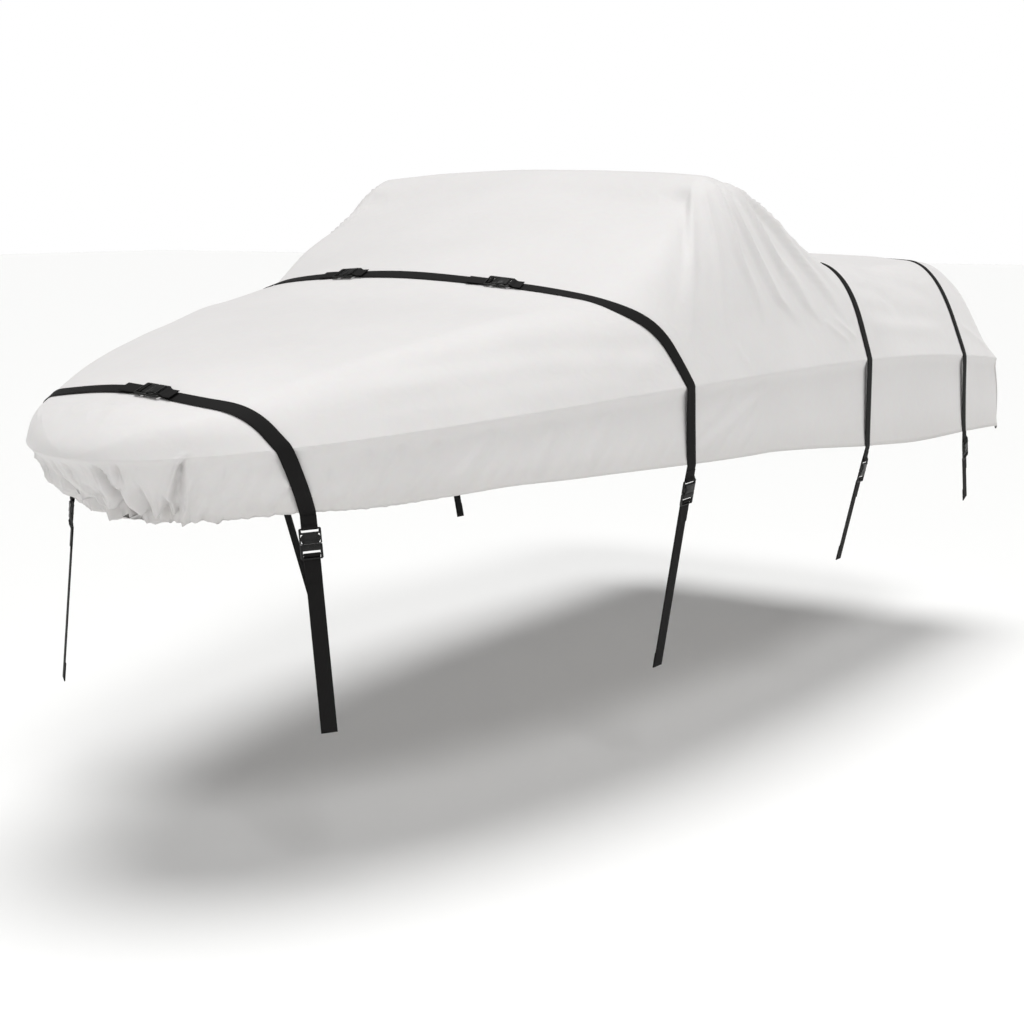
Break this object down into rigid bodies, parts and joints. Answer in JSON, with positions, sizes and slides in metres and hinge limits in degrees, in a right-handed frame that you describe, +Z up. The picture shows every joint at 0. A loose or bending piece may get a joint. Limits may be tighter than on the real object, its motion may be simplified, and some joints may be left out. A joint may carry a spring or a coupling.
{
  "type": "boat cover",
  "caption": "Fitted runabout trailering cover: one draped cloth shell with a tucked bow, a raised windshield peak, a hemmed skirt and over-the-top tie-down webbing with side-release buckles.",
  "frame": {"origin": "the point just under the cloth at the windshield peak, on the centreline, where the cover is held up", "axes": "+X runs aft from the bow, +Y is the starboard side, +Z is up"},
  "size_m": [5.197, 2.1632, 1.822],
  "materials": {
    "cloth": "matte",
    "webbing": "matte",
    "buckle": "satin",
    "cord": "matte"
  },
  "bodies": {
    "root": {"cover": "cloth", "hem_cord": "cord", "bow_web_port": "webbing", "bow_web_starboard": "webbing", "bow_web_lower_port": "webbing", "bow_web_lower_starboard": "webbing", "bow_buckle_top_1": "buckle", "bow_buckle_port": "buckle", "bow_buckle_starboard": "buckle", "deck_web_port": "webbing", "deck_web_middle": "webbing", "deck_web_starboard": "webbing", "deck_web_lower_port": "webbing", "deck_web_lower_starboard": "webbing", "deck_buckle_top_1": "buckle", "deck_buckle_top_2": "buckle", "deck_buckle_port": "buckle", "deck_buckle_starboard": "buckle", "cockpit_web_over": "webbing", "cockpit_web_lower_port": "webbing", "cockpit_web_lower_starboard": "webbing", "cockpit_buckle_port": "buckle", "cockpit_buckle_starboard": "buckle", "stern_web_over": "webbing", "stern_web_lower_port": "webbing", "stern_web_lower_starboard": "webbing", "stern_buckle_port": "buckle", "stern_buckle_starboard": "buckle"}
  },
  "joints": []
}
